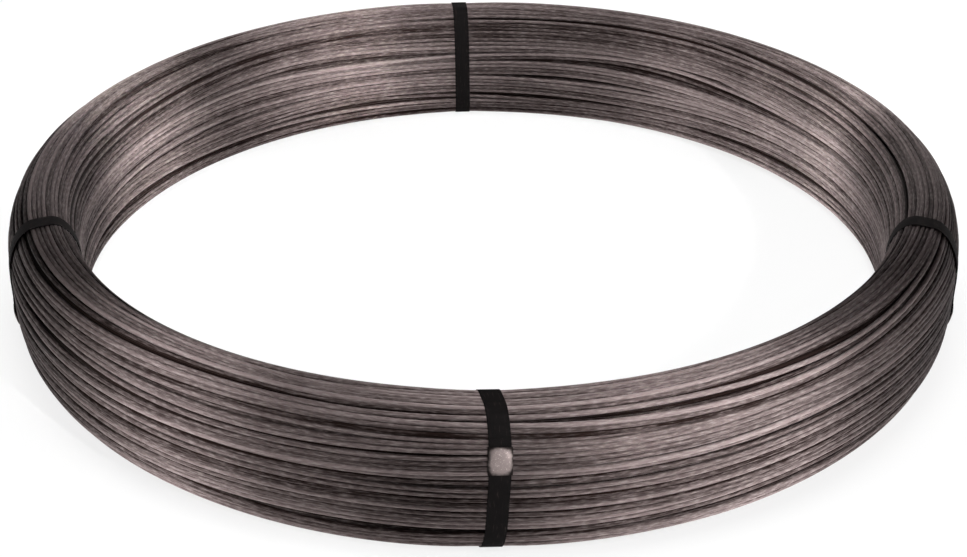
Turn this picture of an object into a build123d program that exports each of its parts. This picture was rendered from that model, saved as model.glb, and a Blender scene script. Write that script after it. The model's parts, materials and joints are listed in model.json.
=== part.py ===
from build123d import *
import os
from math import asin, atan2, cos, degrees, radians, sin, tan

os.makedirs("parts", exist_ok=True)

# wound pack of drawn wire: a ring lying flat, its axis along Z and its foot at Z = 0
coil_bore_radius = 290.0
pack_width = 50.0
coil_height = 97.0
# how far each rounded corner of the section reaches, as a share of half its width and half its height
top_outer_share = 0.87
top_inner_share = 0.77
foot_outer_share = 0.66
foot_inner_share = 0.38
# the wire, and the furrows that its turns leave: one for each turn over the top, one for a bunch elsewhere
wire_diameter = 3.2
turns_in_bunch = 4
turns_on_foot = 2
crown_furrow_depth = 1.4
side_furrow_depth = 1.6
foot_furrow_depth = 1.4
# how much of a bunch's width is left between its furrows
side_land_share = 0.7
foot_land_share = 0.5
# steepest lean of the rounded top that still counts as its end, in degrees
crown_lean_angle = 33.0

# flat strapping: four bands, each bedded in the wire and closed on itself
strap_width = 12.7
strap_thickness = 0.5
strap_clearance = 0.1
# how far the strap's face is drawn in below the turns beside it
strap_bed = 0.2
# how each strap sits, in degrees: its place round the coil from the front, its turn about the upright, its lean
strap_names = "front", "right", "back", "left"
strap_place_angles = 1.6, 73.5, 184.0, -73.5
strap_turn_angles = 11.5, -8.0, 1.5, 8.0
strap_lean_angles = 2.6, -12.0, 0.5, 12.0
# how far its seal sits up the upper rounding of the outer face or, if minus, down the lower one
seal_lift_shares = 0.36, -0.4, 0.36, -0.4

# crimped seal: a sleeve of sheet round the strap's lapped ends, on the outer face
seal_length = 17.0
seal_sheet = 0.6
seal_play = 0.3
seal_crown = 0.7
seal_corner_radius = 2.5
seal_lip_gap = 4.0
lap_length = 27.0

overrun = 5.0

# the section's own frame: X is the radius, Y the height
coil_outer_radius = coil_bore_radius + pack_width
half_width = pack_width / 2
half_height = coil_height / 2


class Corner:
    """One rounded corner of the section, a quarter of an ellipse round a fixed centre."""

    def __init__(self, share, outer, top):
        self.reach = share * half_width
        self.rise = share * half_height
        self.right = 1 if outer else -1
        self.up = 1 if top else -1
        wall = coil_outer_radius if outer else coil_bore_radius
        end = coil_height if top else 0
        self.radius = wall - self.right * self.reach
        self.height = end - self.up * self.rise

    def point(self, angle, inset=0):
        """Point at an angle from the wall (0) to the end (90), moved in by inset."""
        turn = radians(angle)
        return Vector(
            self.radius + self.right * (self.reach - inset) * cos(turn),
            self.height + self.up * (self.rise - inset) * sin(turn),
        )

    def curve(self, first, last, inset=0):
        """The corner's edge between two angles from the wall."""
        base = {(1, 1): 0, (-1, 1): 180, (-1, -1): 180, (1, -1): 360}[self.right, self.up]
        way = self.right * self.up
        begin, end = sorted((base + way * first, base + way * last))
        centre = Plane((self.radius, self.height))
        return Edge.make_ellipse(self.reach - inset, self.rise - inset, centre, begin, end)

    def lean_angle(self, lean):
        """Angle from the wall at which the surface's normal leans this far from the upright."""
        return degrees(atan2(self.rise / self.reach, tan(radians(lean))))


top_outer = Corner(top_outer_share, True, True)
top_inner = Corner(top_inner_share, False, True)
foot_outer = Corner(foot_outer_share, True, False)
foot_inner = Corner(foot_inner_share, False, False)


def smooth_section(inset):
    """The section with plain sides, all of them moved in by inset."""
    edges = [corner.curve(0, 90, inset) for corner in (top_outer, top_inner, foot_inner, foot_outer)]
    for one, two, angle in (
        (top_outer, top_inner, 90),
        (top_inner, foot_inner, 0),
        (foot_inner, foot_outer, 90),
        (foot_outer, top_outer, 0),
    ):
        edges.append(Edge.make_line(one.point(angle, inset), two.point(angle, inset)))
    return Face(Wire(edges))


def furrowed(begin, edges, turns, land_share, depth):
    """Points along a run of the section, walked with the pack on the left, with a furrow between every two
    bunches of so many turns."""
    run = Wire(edges)
    back = (run @ 0 - begin).length > (run @ 1 - begin).length
    bunches = max(1, round(run.length / (turns * wire_diameter)))
    lip = (1 - land_share) / 2
    steps = {0: 0}
    for furrow in range(1, bunches):
        steps |= {furrow - lip: 0, furrow: depth, furrow + lip: 0}
    points = []
    for step, deep in steps.items():
        place = run.length * (1 - step / bunches if back else step / bunches)
        ahead = run.tangent_at(place, position_mode=PositionMode.LENGTH) * (-1 if back else 1)
        inward = Vector(-ahead.Y, ahead.X)
        points.append(run.position_at(place, position_mode=PositionMode.LENGTH) + inward * deep)
    return points


def wound_section():
    """The section with the furrows of its turns, walked from the foot up the outer side, over the top and down
    the bore, whose straight wall stays plain."""
    outer, inner = top_outer.lean_angle(crown_lean_angle), top_inner.lean_angle(crown_lean_angle)
    wall = Edge.make_line(foot_outer.point(0), top_outer.point(0))
    top = Edge.make_line(top_outer.point(90), top_inner.point(90))
    foot = Edge.make_line(foot_inner.point(90), foot_outer.point(90))
    outer_side = [foot_outer.curve(0, 90), wall, top_outer.curve(0, outer)]
    crown = [top_outer.curve(outer, 90), top, top_inner.curve(inner, 90)]
    side = turns_in_bunch, side_land_share, side_furrow_depth
    points = furrowed(foot_outer.point(90), outer_side, *side)
    points += furrowed(top_outer.point(outer), crown, 1, 0, crown_furrow_depth)
    points += furrowed(top_inner.point(inner), [top_inner.curve(0, inner)], *side) + [top_inner.point(0)]
    points += furrowed(foot_inner.point(0), [foot_inner.curve(0, 90)], *side)
    points += furrowed(foot_inner.point(90), [foot], turns_on_foot, foot_land_share, foot_furrow_depth)
    return make_face(Polyline(*points, close=True))


def seat(lift):
    """The rounded corner of the outer face that a seal sits on, its middle there, and how far the surface leans
    back, in degrees."""
    corner = top_outer if lift > 0 else foot_outer
    angle = asin(abs(lift))
    lean = atan2(corner.reach * sin(angle), corner.rise * cos(angle))
    return corner, corner.point(degrees(angle)), corner.up * degrees(lean)


def seal_drop(place):
    """How far the rounded surface falls away from a straight seal at the corners of its ends."""
    around, turn, lean, lift = place
    corner, middle, back = seat(lift)
    out = Vector(cos(radians(back)), sin(radians(back)))
    up = Vector(-out.Y, out.X)
    reach = (seal_length + strap_width * sin(radians(abs(lean)))) / 2
    tries = 1000
    steps = [corner.point(90 * count / tries) - middle for count in range(tries)]
    return max(-step.dot(out) for step in steps if abs(step.dot(up)) <= reach)


def station(place):
    """Frame on the outer face where a strap's seal sits: X along the coil, Y into it, Z up."""
    around, turn, lean, lift = place
    corner, middle, back = seat(lift)
    return Rot(0, 0, around) * Pos(0, -middle.X, middle.Y)


def slab(place, width):
    """All that lies within a strap's width, in the plane that the strap is drawn round the coil in."""
    around, turn, lean, lift = place
    deep = coil_outer_radius
    box = Box(width * cos(radians(turn)), deep, 2 * coil_height + overrun)
    return station(place) * Rot(0, 0, turn) * Rot(0, lean, 0) * Pos(0, deep / 2 - overrun, 0) * box


def band(place, outer, inner, width):
    """A flat band round the section, between two depths below the pack's surface."""
    rim = smooth_section(outer) - smooth_section(inner)
    upright = Plane((0, 0, 0), x_dir=(0, -1, 0), z_dir=(-1, 0, 0))
    corner, middle, back = seat(place[-1])
    face = upright * (Pos(-middle.X, -middle.Y) * rim)
    return station(place) * extrude(face, half_width + width, both=True) & slab(place, width)


def closing(place, depth):
    """Frame where a strap is closed, at a depth: X across it, Y up along it, Z out of the pack."""
    around, turn, lean, lift = place
    corner, middle, back = seat(lift)
    turn, lean, slope = radians(turn), radians(lean), radians(back)
    roll = atan2(tan(lean) * cos(slope) - sin(turn) * sin(slope), cos(turn))
    return station(place) * Rot(90 - back, 0, 0) * Rot(0, 0, -degrees(roll)) * Pos(0, 0, -depth)


def block(place, width, length, corner, depth):
    """A round-cornered block square to the strap where it is closed, from a depth outwards."""
    outline = RectangleRounded(width, length, corner)
    return closing(place, depth) * extrude(outline, depth + overrun)


def sleeve(width, low, high, crown):
    """Outline across the strap, from a depth to a height, its upper side crowned."""
    half = width / 2
    base = Polyline((-half, high), (-half, -low), (half, -low), (half, high))
    over = ThreePointArc((half, high), (0, high + crown), (-half, high))
    return make_face(base + over)


strap_places = list(zip(strap_place_angles, strap_turn_angles, strap_lean_angles, seal_lift_shares))

# layers at a seal, counted from the face of the strap: the lap outside it, the lips below it
slot_low = strap_thickness + max(map(seal_drop, strap_places)) + strap_clearance
slot_high = strap_thickness + strap_clearance
sheet_low = slot_low + seal_sheet
sheet_high = slot_high + seal_sheet
pocket_low = sheet_low + strap_clearance

bed_width = strap_width + 2 * strap_clearance
slot_width = strap_width + 2 * seal_play
sheet_width = slot_width + 2 * seal_sheet
pocket_width = sheet_width + 2 * strap_clearance
pocket_length = seal_length + 2 * strap_clearance

tube = sleeve(sheet_width, sheet_low, sheet_high, seal_crown)
tube -= sleeve(slot_width, slot_low, slot_high, strap_clearance)
tube -= Pos(0, -sheet_low) * Rectangle(seal_lip_gap, 2 * seal_sheet)

wire_coil = revolve(Plane.XZ * wound_section(), Axis.Z)
for name, place in zip(strap_names, strap_places):
    strap = band(place, strap_bed, strap_bed + strap_thickness, strap_width)
    lap = block(place, 2 * strap_width, lap_length, strap_thickness, strap_bed + pocket_low)
    strap += band(place, strap_bed - strap_thickness, strap_bed, strap_width) & lap
    export_step(strap, f"parts/strap_{name}.step")

    seal = closing(place, strap_bed) * extrude(Plane.XZ * tube, seal_length / 2, both=True)
    seal &= block(place, sheet_width, seal_length, seal_corner_radius, strap_bed + pocket_low)
    export_step(seal, f"parts/seal_{name}.step")

    wire_coil -= band(place, -overrun, strap_bed + strap_thickness + strap_clearance, bed_width)
    wire_coil -= block(place, pocket_width, pocket_length, seal_corner_radius, strap_bed + pocket_low)

export_step(wire_coil, "parts/wire_coil.step")
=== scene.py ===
import json

import bpy
import numpy as np
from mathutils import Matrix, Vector


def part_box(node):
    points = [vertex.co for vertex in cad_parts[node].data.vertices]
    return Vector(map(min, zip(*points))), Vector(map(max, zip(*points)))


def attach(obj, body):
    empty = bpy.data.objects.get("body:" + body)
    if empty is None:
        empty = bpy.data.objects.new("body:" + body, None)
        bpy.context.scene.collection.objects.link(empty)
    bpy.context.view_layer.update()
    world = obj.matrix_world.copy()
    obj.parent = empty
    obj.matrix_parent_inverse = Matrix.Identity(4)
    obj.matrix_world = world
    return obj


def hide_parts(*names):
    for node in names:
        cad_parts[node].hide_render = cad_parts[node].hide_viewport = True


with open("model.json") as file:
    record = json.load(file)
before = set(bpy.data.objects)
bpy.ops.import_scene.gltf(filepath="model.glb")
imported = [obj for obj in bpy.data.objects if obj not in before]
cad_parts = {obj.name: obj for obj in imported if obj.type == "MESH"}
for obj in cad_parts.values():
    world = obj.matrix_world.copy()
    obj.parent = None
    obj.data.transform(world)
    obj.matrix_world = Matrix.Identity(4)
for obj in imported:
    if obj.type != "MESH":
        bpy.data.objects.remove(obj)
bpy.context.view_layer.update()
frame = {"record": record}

# Wound pack
# One length of steel wire, drawn to 3.2 mm and wound turn on turn into a ring that lies flat. Nothing but
# the straps holds the turns, so they wander, bunch up and leave dark gaps. The two outer layers are modelled
# turn by turn as running wire, over a ribbed body that stands for the turns deeper in.
wire_mm = 3.2
turns_shown = 74
points_per_turn = 260
bunches = 26
outer_mm = 1000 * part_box("wire_coil")[1][0]
height_mm = 1000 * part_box("wire_coil")[1][2]
eye_mm = frame["record"]["mounts"][0]["dims"]["r_mm"]
# rounded corners of the section: share of half its width and height, side, end, and way round
section_corners = ((0.66, 1, -1, -1), (0.87, 1, 1, 1), (0.77, -1, 1, -1), (0.38, -1, -1, 1))


def pack_outline(count):
    """Outline of the pack's section in mm, from the middle of its foot outwards and round: four quarter
    ellipses joined by straight runs, spaced evenly by length. Gives length, radius, height and normal."""
    half_width, half_height = (outer_mm - eye_mm) / 2, height_mm / 2
    quarter = np.linspace(0, np.pi / 2, 300)
    runs = [np.array([[eye_mm + half_width, 0.0]])]
    for share, side, up, way in section_corners:
        turn, keep = quarter[::way], 1 - share
        radius = eye_mm + half_width * (1 + side * (keep + share * np.cos(turn)))
        runs.append(np.stack([radius, half_height * (1 + up * (keep + share * np.sin(turn)))], 1))
    points = np.concatenate(runs + [runs[0]])
    length = np.concatenate([[0], np.cumsum(np.linalg.norm(np.diff(points, axis=0), axis=1))])
    even = np.linspace(0, length[-1], count + 1)
    radius, height = np.interp(even, length, points[:, 0]), np.interp(even, length, points[:, 1])
    step_r, step_z = (np.roll(part[:-1], -2) - np.roll(part[:-1], 2) for part in (radius, height))
    step_r, step_z = np.append(step_r, step_r[0]), np.append(step_z, step_z[0])
    step = np.hypot(step_r, step_z)
    return even, radius, height, step_z / step, -step_r / step


outline = pack_outline(3000)
girth = outline[0][-1]


def across_pack(along, depth):
    """Radius, height and outward normal at a length along the outline, at a depth under it, all in mm."""
    radius, height, out_r, out_z = (np.interp(along % girth, outline[0], part) for part in outline[1:])
    return radius - depth * out_r, height - depth * out_z, out_r, out_z


# straps: place round the coil from the front, turn about the upright and lean, in degrees, and how far the
# seal sits up the upper rounding of the outer face or, if minus, down the lower one
strap_ways = {
    "front": (1.6, 11.5, 2.6, 0.36),
    "right": (73.5, -8.0, -12.0, -0.4),
    "back": (184.0, 1.5, 0.5, 0.36),
    "left": (-73.5, 8.0, 12.0, -0.4),
}
strap_width_mm, strap_mm, strap_bed_mm, seal_mm = 12.7, 0.5, 0.2, 17.0


def strap_line(way):
    """Where a strap is drawn: its place in radians, the length along the outline where its seal sits, and
    how far its middle lies to the right of its place at any length and depth, in mm, since it is drawn in
    one plane."""
    place, turn, lean = np.radians(way[:3])
    foot, top = section_corners[0][0] / 2, section_corners[1][0] / 2
    seal_height = height_mm * (1 - top * (1 - way[3]) if way[3] > 0 else foot * (1 + way[3]))
    outer_face = slice(0, np.argmax(outline[2]))
    seat = np.interp(seal_height, outline[2][outer_face], outline[0][outer_face])
    seal_radius = across_pack(seat, 0)[0]

    def shift(along, depth):
        """The turn's tangent times the way in from the seal, plus the lean's times the way up from it."""
        radius, height, _, _ = across_pack(along, depth)
        return -np.tan(turn) * (seal_radius - radius) + np.tan(lean) / np.cos(turn) * (height - seal_height)

    return place, seat, lean, shift


strap_lines = {name: strap_line(way) for name, way in strap_ways.items()}


def slow_noise(rng, shape, reach):
    """White noise along the running wire, blurred over so many points and scaled to a spread of one."""
    noise = rng.standard_normal(shape).ravel()
    blur = np.exp(-2 * (np.pi * reach * np.fft.rfftfreq(noise.size)) ** 2)
    noise = np.fft.irfft(np.fft.rfft(noise) * blur, noise.size)
    return (noise / noise.std()).reshape(shape)


def swell(rng, place, angle, finest, laps, count):
    """Long waves that cross the whole pack, so that neighbouring turns drift together in bunches."""
    total = 0 * place
    for _ in range(count):
        waves, lap = rng.integers(1, finest), rng.integers(-laps, laps + 1)
        wave = np.cos(2 * np.pi * waves * place + lap * angle + rng.uniform(0, 2 * np.pi))
        total += wave / (1 + abs(lap)) ** 0.5
    return total / total.std()


def fade(distance, reach):
    """One at no distance, falling in a smooth wave to nothing at its reach."""
    return 0.5 * (1 + np.cos(np.pi * np.clip(distance / reach, 0, 1)))


def eased(lay):
    """The running wire's lay with each point drawn towards the middle of the two beside it."""
    path = lay.reshape(2, -1)
    return (0.4 * path + 0.3 * (np.roll(path, 1, 1) + np.roll(path, -1, 1))).reshape(lay.shape)


def laid_turns():
    """Length along the outline and depth of the wire's middle at each point of two layers of turns. The wire
    starts evenly spaced, drifts by noise with its turns kept in order, and is then eased apart wherever two
    turns at one angle come closer than a wire. The straps press it in and hold it straight."""
    rng = np.random.default_rng(26)
    shape = (2, turns_shown, points_per_turn)
    angle = np.broadcast_to(np.linspace(0, 2 * np.pi, points_per_turn, endpoint=False), shape)
    turn = np.arange(turns_shown)[None, :, None] + angle / (2 * np.pi)
    place = (turn + 0.5 * np.arange(2)[:, None, None]) / turns_shown
    even = place * girth

    # how deep a strap and its seal press the wire in, how far from their edges it is still pressed or held
    # straight, all in mm, and the share of its drift that a strap takes away
    strap_press, seal_press = strap_bed_mm + strap_mm + 0.05, 0.75
    strap_reach, seal_reach, seal_end_reach, hold_reach, hold = 26, 18, 12, 70, 0.7
    pressed, held = np.zeros(shape), np.zeros(shape)
    for spot, seat, _, shift in strap_lines.values():
        aside = ((angle - spot + np.pi) % (2 * np.pi) - np.pi) * across_pack(even, 0)[0]
        gap = np.abs(aside - shift(even, 0)) - strap_width_mm / 2
        pressed += strap_press * fade(gap, strap_reach)
        past_seal = np.abs(even - seat) - seal_mm / 2
        pressed += seal_press * fade(gap, seal_reach) * fade(past_seal, seal_end_reach)
        held += fade(gap, hold_reach)

    # how far turns drift: many together, each by itself, into bunches, and in a fine quiver, in mm
    swell_mm, wander_mm, bunch_mm, quiver_mm = 4.0, 4.0, 0.7, 0.2
    drift = swell_mm * swell(rng, place, angle, 14, 6, 60) + wander_mm * slow_noise(rng, shape, 10)
    bunch = bunches * place + 0.5 * swell(rng, place, angle, 6, 5, 40)
    drift = drift * (1 - hold * held) - bunch_mm * np.sin(2 * np.pi * bunch)
    drift += quiver_mm * slow_noise(rng, shape, 3)
    # each layer's turns keep their order round the section, so that none runs through another
    lapped = np.concatenate([even + drift + lap * girth for lap in (-1, 0, 1)], 1)
    drift = np.sort(lapped, 1)[:, turns_shown : 2 * turns_shown] - even

    # the depth that each turn would take by itself, uneven by so many mm
    layer_mm, uneven_mm = 0.92 * wire_mm, 0.45
    layer = np.array([0.0, layer_mm])[:, None, None]
    wish = layer + uneven_mm * swell(rng, place, angle, 24, 6, 60) + uneven_mm * slow_noise(rng, shape, 14)
    depth = np.maximum(wish, pressed)
    # every two turns that overlap push each other apart by half of it, over and over, while each sinks back
    # a little towards the depth it would take and its bends are drawn out
    pairs = [(a, b, step) for a in range(2) for b in range(2) for step in range(-5, 6) if (b, step) > (a, 0)]
    for _ in range(90):
        push_along, push_depth = np.zeros(shape), np.zeros(shape)
        for a, b, step in pairs:
            ahead = np.roll(even[b] + drift[b], -step, 0) - even[a] - drift[a]
            ahead = (ahead + girth / 2) % girth - girth / 2
            below = np.roll(depth[b], -step, 0) - depth[a]
            apart = np.sqrt(ahead**2 + below**2 + 1e-6)
            squeeze = 0.5 * np.maximum(0, wire_mm - apart) / apart
            push_along[a] -= squeeze * ahead
            push_depth[a] -= squeeze * below
            push_along[b] += np.roll(squeeze * ahead, step, 0)
            push_depth[b] += np.roll(squeeze * below, step, 0)
        drift += 0.5 * push_along
        depth += 0.5 * push_depth + 0.02 * (wish - depth)
        drift, depth = eased(drift), np.maximum(eased(depth), pressed)
    for _ in range(6):
        drift, depth = eased(drift), eased(depth)
    return even + drift, np.maximum(depth, pressed) + wire_mm / 2, angle


def linear(code):
    """A colour from its sRGB hex code, as linear values."""
    part = np.array([int(code[i : i + 2], 16) / 255 for i in (1, 3, 5)])
    part = np.where(part <= 0.04045, part / 12.92, ((part + 0.055) / 1.055) ** 2.4)
    return (*part.tolist(), 1.0)


def add(tree, kind, links=None, values=None, **settings):
    """Adds a node with its settings, sets its inputs and links the others."""
    node = tree.nodes.new(kind)
    for name, value in settings.items():
        setattr(node, name, value)
    for name, value in (values or {}).items():
        node.inputs[name].default_value = value
    for name, socket in (links or {}).items():
        tree.links.new(socket, node.inputs[name])
    return node


def blank(name):
    """A new material with an empty node tree."""
    material = bpy.data.materials.new(name)
    material.use_nodes = True
    material.node_tree.nodes.clear()
    return material, material.node_tree


def new_piece(name, points, faces, corners, material, slot, node, **point_values):
    """Makes a mesh object at the origin from points in metres, four-cornered faces, a UV pair for each face
    corner and named values for each point, and hands it over in place of a CAD node."""
    points = np.asarray(points, np.float32).reshape(-1, 3)
    faces = np.asarray(faces, np.int32).reshape(-1, 4)
    mesh = bpy.data.meshes.new(name)
    mesh.vertices.add(len(points))
    mesh.vertices.foreach_set("co", points.ravel())
    mesh.loops.add(faces.size)
    mesh.loops.foreach_set("vertex_index", faces.ravel())
    mesh.polygons.add(len(faces))
    mesh.polygons.foreach_set("loop_start", np.arange(0, faces.size, 4, dtype=np.int32))
    mesh.polygons.foreach_set("use_smooth", np.ones(len(faces), bool))
    mesh.uv_layers.new(name="run").data.foreach_set("uv", np.asarray(corners, np.float32).ravel())
    for label, value in point_values.items():
        layer = mesh.attributes.new(label, "FLOAT", "POINT")
        layer.data.foreach_set("value", np.asarray(value, np.float32).ravel())
    mesh.update()
    # shaded smooth but for the edges of the ends, which stand square to the run
    mesh.set_sharp_from_angle(angle=np.radians(75))
    mesh.materials.append(material)
    piece = bpy.data.objects.new(name, mesh)
    bpy.context.collection.objects.link(piece)
    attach(piece, "root")
    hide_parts(node)
    return piece


def skin(rows, columns, ring=False):
    """Faces of a grid of points whose columns close on themselves, and its rows too where it is a ring, with
    the row and column of each face's corners."""
    row, column = np.meshgrid(np.arange(rows if ring else rows - 1), np.arange(columns), indexing="ij")
    spots = np.stack([np.stack([row + a, column + b], -1) for a, b in ((0, 0), (0, 1), (1, 1), (1, 0))], 2)
    spots = spots.reshape(-1, 4, 2)
    return (spots[..., 0] % rows) * columns + spots[..., 1] % columns, spots


def capped(faces, spots, rows, columns):
    """The faces of a skin with its two ends closed, pairing each column with the one across from it."""
    low = np.arange(columns // 2 - 1)
    cap = np.stack([low, low + 1, columns - 2 - low, columns - 1 - low], 1)
    ends = np.concatenate([cap[:, ::-1], cap + (rows - 1) * columns])
    end_spots = np.stack([ends // columns, ends % columns], -1)
    return np.concatenate([faces, ends]), np.concatenate([spots, end_spots])


def drawn_steel():
    """Drawn carbon steel wire, dull with the dried residue of the drawing soap: a dark, brownish grey metal
    with fine lines along the wire, a little brighter where it rubbed in the die or on its neighbours."""
    material, tree = blank("drawn_steel_wire")
    run = add(tree, "ShaderNodeUVMap", uv_map="run").outputs["UV"]
    # the tone attribute: each wire's own slow change at random, plus painted shade on the lower and deeper
    # turns and along the sides where the wires meet
    tone = add(tree, "ShaderNodeAttribute", attribute_name="tone").outputs["Fac"]
    spot = add(tree, "ShaderNodeTexCoord").outputs["Object"]
    # lines left by the die, some 40 mm long and 1 mm wide, coarser than real ones, which are too fine to show
    lines = add(tree, "ShaderNodeMapping", {"Vector": run}, {"Scale": (25.0, 9.0, 1.0)}).outputs[0]
    streak = add(
        tree, "ShaderNodeTexNoise", {"Vector": lines}, {"Scale": 1.0, "Detail": 3.0}, noise_dimensions="2D"
    ).outputs[0]
    # dashes of bare and coated metal, some 6 mm long and 1 mm wide
    cells = add(tree, "ShaderNodeMapping", {"Vector": run}, {"Scale": (170.0, 9.0, 1.0)}).outputs[0]
    dash = add(
        tree, "ShaderNodeTexNoise", {"Vector": cells}, {"Scale": 1.0, "Detail": 2.0}, noise_dimensions="2D"
    ).outputs[0]
    # residue in patches about 25 mm across
    patch = add(tree, "ShaderNodeTexNoise", {"Vector": spot}, {"Scale": 40.0, "Detail": 2.0}).outputs[0]
    # the metal's cleanness from all of these, with the painted shade that the tone attribute carries
    # darkening it further
    cleanness_and_shade = add(tree, "ShaderNodeMath", {0: streak, 2: tone}, {1: 1.1}, operation="MULTIPLY_ADD").outputs[0]
    cleanness_and_shade = add(tree, "ShaderNodeMath", {0: patch, 2: cleanness_and_shade}, {1: 0.5}, operation="MULTIPLY_ADD").outputs[0]
    cleanness_and_shade = add(tree, "ShaderNodeMath", {0: dash, 2: cleanness_and_shade}, {1: 0.6}, operation="MULTIPLY_ADD").outputs[0]
    cleanness_and_shade = add(tree, "ShaderNodeMapRange", {"Value": cleanness_and_shade}, {"From Min": 0.85, "From Max": 2.35}).outputs[0]
    worn = add(tree, "ShaderNodeMapRange", {"Value": dash}, {"From Min": 0.45, "From Max": 0.8}).outputs[0]
    worn = add(tree, "ShaderNodeMath", {0: worn, 1: cleanness_and_shade}, operation="MULTIPLY").outputs[0]
    coated, bare, rubbed = linear("#271d1b"), linear("#948584"), linear("#a49a98")
    dull = add(tree, "ShaderNodeMix", {0: cleanness_and_shade}, {6: coated, 7: bare}, data_type="RGBA").outputs[2]
    colour = add(tree, "ShaderNodeMix", {0: worn, 6: dull}, {7: rubbed}, data_type="RGBA").outputs[2]
    smooth = {"From Min": 0.3, "From Max": 0.7, "To Min": 0.62, "To Max": 0.58}
    rough = add(tree, "ShaderNodeMapRange", {"Value": dash}, smooth).outputs[0]
    bump = add(tree, "ShaderNodeBump", {"Height": streak}, {"Strength": 0.25, "Distance": 0.0001}).outputs[0]
    faint = {"Strength": 0.12, "Distance": 0.0001}
    bump = add(tree, "ShaderNodeBump", {"Height": dash, "Normal": bump}, faint).outputs[0]
    # the lines run along the wire, so that light spreads round it and not along it
    lengthwise = add(tree, "ShaderNodeTangent", direction_type="UV_MAP", uv_map="run").outputs[0]
    shader = add(
        tree, "ShaderNodeBsdfPrincipled",
        {"Base Color": colour, "Roughness": rough, "Normal": bump, "Tangent": lengthwise},
        {"Metallic": 1.0, "Anisotropic": 0.95, "Anisotropic Rotation": 0.25},
    )
    add(tree, "ShaderNodeOutputMaterial", {"Surface": shader.outputs[0]})
    return material


along, depth, angle = laid_turns()
radius, height, out_r, out_z = across_pack(along, depth)
round_x, round_y = np.sin(angle), -np.cos(angle)
wire_path = np.stack([radius * round_x, radius * round_y, height], -1).reshape(2, -1, 3) / 1000
wire_out = np.stack([out_r * round_x, out_r * round_y, out_z], -1).reshape(2, -1, 3)
wire_steel = drawn_steel()


def wire_piece(name, layer, first, last, sides, stride):
    """A tube carried along the running wire between two turns: a circle square to the wire at each point."""
    path, out = wire_path[layer], wire_out[layer]
    ahead = np.roll(path, -1, 0) - np.roll(path, 1, 0)
    ahead /= np.linalg.norm(ahead, axis=1, keepdims=True)
    spots = np.arange(first * points_per_turn, min(last * points_per_turn + 1, len(path)), stride)
    path, ahead, out = path[spots], ahead[spots], out[spots]
    out = out - ahead * np.sum(out * ahead, 1, keepdims=True)
    out /= np.linalg.norm(out, axis=1, keepdims=True)
    side = np.cross(ahead, out)
    turn = np.linspace(0, 2 * np.pi, sides, endpoint=False)[None, :, None]
    points = path[:, None] + wire_mm / 2000 * (np.cos(turn) * out[:, None] + np.sin(turn) * side[:, None])
    faces, spots = capped(*skin(len(path), sides), len(path), sides)
    gone = np.concatenate([[0], np.cumsum(np.linalg.norm(np.diff(path, axis=0), axis=1))])
    corners = np.stack([gone[spots[..., 0]], spots[..., 1] / sides], -1)
    # the lower layer is painted darker as painted shade, each wire changes slowly along it at random, and the
    # sides and underside of each wire, where it lies against its neighbours, are painted darker as painted
    # shade
    rng = np.random.default_rng(100 + 10 * layer + first)
    tone = 0.5 - 0.7 * layer + 0.3 * slow_noise(rng, len(path), points_per_turn / 6 / stride)
    tone = tone[:, None] - 0.4 * (np.cos(turn[..., 0]) < 0.4)
    return new_piece(name, points, faces, corners, wire_steel, "drawn_wire", "wire_coil", tone=tone)


middle_turn = (turns_shown + 1) // 2
wire_piece("outer_turns_1", 0, 0, middle_turn, 10, 1)
wire_piece("outer_turns_2", 0, middle_turn, turns_shown, 10, 1)
wire_piece("under_turns", 1, 0, turns_shown, 6, 2)


def deep_turns():
    """The turns deeper in, as one ribbed ring: the outline sunk by two layers, with a rib for each wire,
    painted darker all over as painted shade.
    """
    # the dull tone paints the deep turns darker all over, as painted shade
    ribs, steps, rings, dull = round(0.85 * girth / wire_mm), 6, 160, -0.4
    place = np.arange(ribs * steps) / (ribs * steps)
    rib = np.abs(np.sin(np.pi * ribs * place)) ** 0.6
    radius, height, _, _ = across_pack(place * girth, wire_mm * (2.5 - 0.5 * rib))
    angle = np.linspace(2 * np.pi, 0, rings, endpoint=False)[:, None]
    points = np.stack([radius * np.sin(angle), -radius * np.cos(angle), height + 0 * angle], -1) / 1000
    faces, spots = skin(rings, ribs * steps, True)
    corners, tone = spots * (2.0 / rings, 1.0 / steps), np.full(points.shape[:2], dull)
    new_piece("deep_turns", points, faces, corners, wire_steel, "drawn_wire", "wire_coil", tone=tone)


deep_turns()

# Straps
# Flat steel strapping 12.7 mm wide and 0.5 mm thick, painted black, drawn tight round the pack's section in
# one plane. The end that comes round last lies on the first one under the seal, and its cut edge shows just
# above it.
lap_mm = 27.0


def on_strap(line, along, across, depth):
    """Point in metres at a length along a strap, a distance across it and a depth under the pack's outline:
    straight across, square to the coil's radius at the strap's own place."""
    place, _, lean, shift = line
    radius, height, _, _ = across_pack(along, depth)
    aside = shift(along, depth) + across / np.cos(lean)
    x = radius * np.sin(place) + aside * np.cos(place)
    y = -radius * np.cos(place) + aside * np.sin(place)
    return np.stack(np.broadcast_arrays(x, y, height), -1) / 1000


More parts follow.
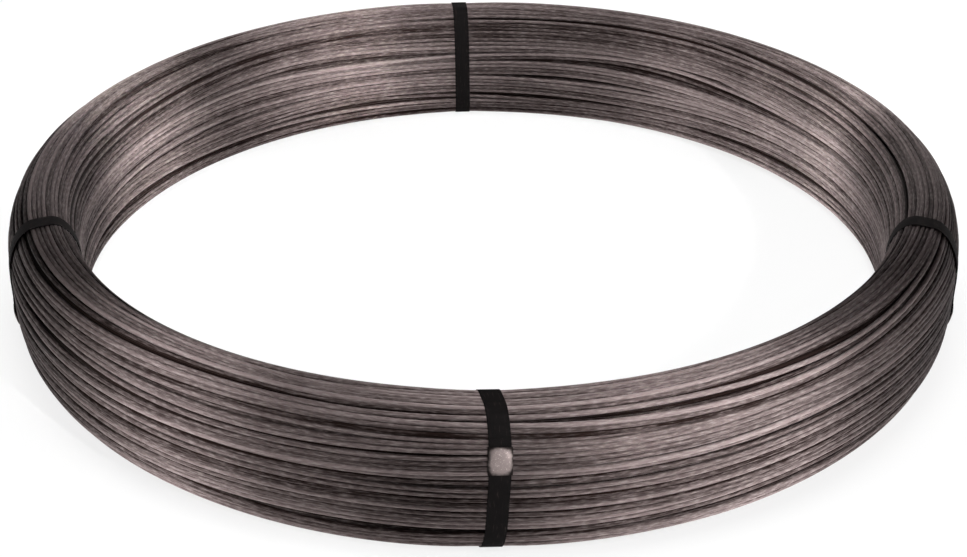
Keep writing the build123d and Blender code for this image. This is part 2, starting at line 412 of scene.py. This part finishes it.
def black_paint():
    """Black paint on strapping, matt and a little dusty, rubbed to a lighter brown-grey in short marks."""
    material, tree = blank("black_strapping_paint")
    run = add(tree, "ShaderNodeUVMap", uv_map="run").outputs["UV"]
    spot = add(tree, "ShaderNodeTexCoord").outputs["Object"]
    # rubbed marks some 8 mm long and 1 mm wide, along the strap
    marks = add(tree, "ShaderNodeMapping", {"Vector": run}, {"Scale": (120.0, 900.0, 1.0)}).outputs[0]
    rub = add(
        tree, "ShaderNodeTexNoise", {"Vector": marks}, {"Scale": 1.0, "Detail": 3.0}, noise_dimensions="2D"
    ).outputs[0]
    rub = add(tree, "ShaderNodeMapRange", {"Value": rub}, {"From Min": 0.62, "From Max": 0.85}).outputs[0]
    # dust in spots about 5 mm across
    dust = add(tree, "ShaderNodeTexNoise", {"Vector": spot}, {"Scale": 180.0, "Detail": 4.0}).outputs[0]
    black, dusty, rubbed = linear("#090808"), linear("#110f0f"), linear("#2a2423")
    paint = add(tree, "ShaderNodeMix", {0: dust}, {6: black, 7: dusty}, data_type="RGBA").outputs[2]
    colour = add(tree, "ShaderNodeMix", {0: rub, 6: paint}, {7: rubbed}, data_type="RGBA").outputs[2]
    rough = add(tree, "ShaderNodeMapRange", {"Value": dust}, {"To Min": 0.7, "To Max": 0.9}).outputs[0]
    bump = add(tree, "ShaderNodeBump", {"Height": dust}, {"Strength": 0.2, "Distance": 0.0001}).outputs[0]
    shader = add(
        tree, "ShaderNodeBsdfPrincipled",
        {"Base Color": colour, "Roughness": rough, "Normal": bump}, {"Specular IOR Level": 0.03},
    )
    add(tree, "ShaderNodeOutputMaterial", {"Surface": shader.outputs[0]})
    return material


strap_paint = black_paint()


def strap_band(name, line):
    """A strip with rounded edges, carried once round the section and over its own start, where it climbs by
    its own thickness."""
    stations, sides, climb_mm, edge = 420, 20, 18, 0.4 * strap_mm
    begin = line[1] - lap_mm / 2
    along = np.linspace(begin, begin + girth + lap_mm, stations)[:, None]
    climb = fade(begin + girth - along, climb_mm)
    turn = 2 * np.pi * (np.arange(sides)[::-1] + 0.5) / sides
    across = (np.cos(turn) * edge + np.sign(np.cos(turn)) * (strap_width_mm / 2 - edge))[None]
    lift = (np.sin(turn) * edge + np.sign(np.sin(turn)) * (strap_mm / 2 - edge))[None]
    points = on_strap(line, along, across, strap_bed_mm + strap_mm / 2 - climb * strap_mm - lift)
    faces, spots = capped(*skin(stations, sides), stations, sides)
    corners = np.stack([along[spots[..., 0], 0], across[0, spots[..., 1] % sides]], -1) / 1000
    return new_piece(name, points, faces, corners, strap_paint, "black_strapping", name.replace("_band", ""))


for name, line in strap_lines.items():
    strap_band(f"strap_band_{name}", line)

# Seals
# A sleeve of plated sheet steel 0.6 mm thick, crimped round the lapped ends of a strap. Its two edges meet
# under the strap, its face is pressed up in the middle, and the jaws leave a shallow dent near each corner.
seal_sheet_mm, seal_crown_mm = 0.6, 0.7


def plated_sheet():
    """Zinc-plated sheet gone dull: pale grey with a warm cast, cloudy, with fine bright grains, and painted
    shade darkening it to near black towards the rim of its face.
    """
    material, tree = blank("dull_plated_steel")
    spot = add(tree, "ShaderNodeTexCoord").outputs["Object"]
    # clouds about 3 mm across, and grains of 0.7 mm, larger than real ones so that they show
    cloud = add(tree, "ShaderNodeTexNoise", {"Vector": spot}, {"Scale": 350.0, "Detail": 4.0}).outputs[0]
    grain = add(tree, "ShaderNodeTexNoise", {"Vector": spot}, {"Scale": 1400.0, "Detail": 1.0}).outputs[0]
    worn = add(tree, "ShaderNodeMapRange", {"Value": grain}, {"From Min": 0.62, "From Max": 0.75}).outputs[0]
    dim, pale, bright, black = (linear(code) for code in ("#7c706e", "#958987", "#b8adaa", "#1d1918"))
    dull = add(tree, "ShaderNodeMix", {0: cloud}, {6: dim, 7: pale}, data_type="RGBA").outputs[2]
    colour = add(tree, "ShaderNodeMix", {0: worn, 6: dull}, {7: bright}, data_type="RGBA").outputs[2]
    # painted shade: the face darkens to near black towards its rounded edges, broken up by the clouds
    edge = add(tree, "ShaderNodeAttribute", attribute_name="edge").outputs["Fac"]
    edge_shade = add(tree, "ShaderNodeMath", {0: edge, 1: cloud}, operation="ADD").outputs[0]
    soft = {"From Min": 0.75, "From Max": 1.7}
    edge_shade = add(
        tree, "ShaderNodeMapRange", {"Value": edge_shade}, soft, interpolation_type="SMOOTHSTEP"
    ).outputs[0]
    colour = add(tree, "ShaderNodeMix", {0: edge_shade, 6: colour}, {7: black}, data_type="RGBA").outputs[2]
    rough = add(tree, "ShaderNodeMapRange", {"Value": cloud}, {"To Min": 0.4, "To Max": 0.6}).outputs[0]
    bump = add(tree, "ShaderNodeBump", {"Height": cloud}, {"Strength": 0.3, "Distance": 0.0002}).outputs[0]
    shader = add(
        tree, "ShaderNodeBsdfPrincipled",
        {"Base Color": colour, "Roughness": rough, "Normal": bump}, {"Metallic": 1.0},
    )
    add(tree, "ShaderNodeOutputMaterial", {"Surface": shader.outputs[0]})
    return material


plated = plated_sheet()


def seal_sleeve(name, line):
    """A flattened tube of sheet, open along its underside: a squared-off ellipse across the strap, outside
    and back along the inside, carried along the strap and swollen in the middle of its face."""
    stations, wall_points, lip = 31, 64, 0.13 * np.pi
    half_width, half_rise = strap_width_mm / 2 + 0.45, strap_mm + 0.35
    dent_mm, dent_across, dent_run = 0.25, 5.6, 4.5
    run = seal_mm / 2 * np.sin(np.linspace(-np.pi / 2, np.pi / 2, stations))[:, None]
    turn = np.linspace(3 * np.pi / 2 - lip, -np.pi / 2 + lip, wall_points)
    across, lift = [], []
    for side, order in ((0.5, turn), (-0.5, turn[::-1])):
        bend = np.stack([np.cos(order), np.sin(order)])
        bend = np.sign(bend) * np.abs(bend) ** 0.5
        across.append(bend[0] * (half_width + side * seal_sheet_mm))
        lift.append(bend[1] * (half_rise + side * seal_sheet_mm))
    across, lift = np.concatenate(across)[None], np.concatenate(lift)[None]
    face = np.clip(1 - (across / half_width) ** 2, 0, 1) * (1 - np.abs(2 * run / seal_mm) ** 3)
    dents = [(x, v) for x in (-dent_across, dent_across) for v in (-dent_run, dent_run)]
    dent = sum(np.exp(-((across - x) ** 2 + (run - v) ** 2) / 2.0) for x, v in dents)
    lift = lift + (lift > 0) * (seal_crown_mm * face - dent_mm * dent)
    points = on_strap(line, line[1] + run, across, strap_bed_mm - lift)
    faces, spots = capped(*skin(stations, 2 * wall_points), stations, 2 * wall_points)
    corners = np.stack([run[spots[..., 0], 0], across[0, spots[..., 1] % (2 * wall_points)]], -1) / 1000
    # grows towards the rim of the face, along a rounded oblong, and sets where the seal's painted edge shade
    # falls
    edge = np.abs(across / half_width) ** 3.4 + np.abs(2 * run / seal_mm) ** 3.4
    node = name.replace("_sleeve", "")
    return new_piece(name, points, faces, corners, plated, "seal_steel", node, edge=edge)


for name, line in strap_lines.items():
    seal_sleeve(f"seal_sleeve_{name}", line)

# Floor, light and camera
# A pale studio floor that fills the view, soft lamps round the coil, beams that reach the bore's walls over
# the near side, and a weak even light from all round. Seen or mirrored, the floor glows to white and still
# keeps the shadow.
floor_glow = 0.7
floor_material, tree = blank("pale_floor")
spot = add(tree, "ShaderNodeTexCoord").outputs["Object"]
cloud = add(tree, "ShaderNodeTexNoise", {"Vector": spot}, {"Scale": 1.5}).outputs[0]
pale = add(tree, "ShaderNodeMix", {0: cloud}, {6: linear("#f1f1f1"), 7: linear("#f5f5f5")}, data_type="RGBA")
matt = add(tree, "ShaderNodeBsdfDiffuse", {"Color": pale.outputs[2]}).outputs[0]
glow = add(tree, "ShaderNodeEmission", values={"Color": linear("#ffffff"), "Strength": 1.0}).outputs[0]
ray = add(tree, "ShaderNodeLightPath").outputs
direct, mirrored, through = ray["Is Camera Ray"], ray["Is Glossy Ray"], ray["Is Transmission Ray"]
seen = add(tree, "ShaderNodeMath", {0: direct, 1: mirrored}, operation="MAXIMUM").outputs[0]
seen = add(tree, "ShaderNodeMath", {0: seen, 1: through}, operation="MAXIMUM").outputs[0]
share = add(tree, "ShaderNodeMath", {0: seen}, {1: floor_glow}, operation="MULTIPLY").outputs[0]
mixed = add(tree, "ShaderNodeMixShader", {0: share, 1: matt, 2: glow})
add(tree, "ShaderNodeOutputMaterial", {"Surface": mixed.outputs[0]})
floor_mesh = bpy.data.meshes.new("floor")
floor_mesh.from_pydata([(-6, -6, 0), (6, -6, 0), (6, 6, 0), (-6, 6, 0)], [], [(0, 1, 2, 3)])
floor_mesh.materials.append(floor_material)
floor = bpy.data.objects.new("floor", floor_mesh)
bpy.context.collection.objects.link(floor)

world = bpy.data.worlds.new("studio")
world.use_nodes = True
even_light = world.node_tree.nodes["Background"].inputs
even_light["Color"].default_value, even_light["Strength"].default_value = linear("#ffffff"), 0.06
bpy.context.scene.world = world


def lamp(name, angle, rise, distance, wide, high, power, aim=(0, 0, 0.05), spread=180):
    """A soft oblong lamp at an angle round the coil from the front, a rise and a distance, turned to face a
    point. A small spread makes a beam of it."""
    light = bpy.data.lights.new(name, "AREA")
    light.shape, light.size, light.size_y, light.energy = "RECTANGLE", wide, high, power
    angle, rise, light.spread = np.radians((angle, rise, spread))
    holder = bpy.data.objects.new(name, light)
    way = np.cos(rise) * np.sin(angle), -np.cos(rise) * np.cos(angle), np.sin(rise)
    holder.location = distance * np.array(way)
    holder.rotation_euler = (Vector(aim) - holder.location).to_track_quat("-Z", "Y").to_euler()
    holder.visible_camera = False
    bpy.context.collection.objects.link(holder)


lamp("key_lamp", 59, 21, 2.2, 1.4, 1.3, 49)
lamp("front_lamp", 24, 14, 2.2, 0.8, 0.7, 14)
lamp("left_lamp", -68, 22, 2.2, 1.2, 1.2, 30)
lamp("left_front_lamp", -34, 30, 2.2, 0.7, 0.7, 5)
lamp("top_lamp", 0, 85, 2.0, 0.8, 0.8, 17)
lamp("back_lamp", 180, 28, 2.2, 0.8, 0.8, 4)
# beams over the near side onto the bore's left, right and back walls
left_wall, right_wall, back_wall = (-0.27, 0.13, 0.05), (0.27, 0.12, 0.05), (-0.11, 0.27, 0.05)
beam_spread = 6
for name, angle, rise, wide, high, power, wall in (
    ("left_wall_lamp_1", 103, 24, 0.8, 1.0, 0.42, left_wall),
    ("left_wall_lamp_2", 120, 24, 0.6, 1.0, 0.9, left_wall),
    ("left_wall_lamp_3", 139, 24, 0.6, 1.0, 0.56, left_wall),
    ("right_wall_lamp_1", -100, 24, 0.7, 1.0, 0.74, right_wall),
    ("right_wall_lamp_2", -128, 24, 0.8, 1.0, 1.1, right_wall),
    ("right_wall_lamp_3", -139, 24, 0.6, 1.0, 0.26, right_wall),
    ("back_wall_lamp", 44, 40, 0.9, 0.6, 0.76, back_wall),
):
    lamp(name, angle, rise, 2.2, wide, high, power, wall, beam_spread)

# the camera's place, tilt and lens fit the outline of the ring and its eye
view = bpy.data.cameras.new("camera")
view.sensor_fit, view.sensor_width, view.lens = "HORIZONTAL", 36.0, 62.32
camera = bpy.data.objects.new("camera", view)
camera.location = (0.0, -1.0994, 0.6191)
camera.rotation_euler = (np.radians(90 - 29.58), 0, 0)
bpy.context.collection.objects.link(camera)
bpy.context.scene.camera = camera
bpy.context.scene.view_settings.view_transform = "Standard"
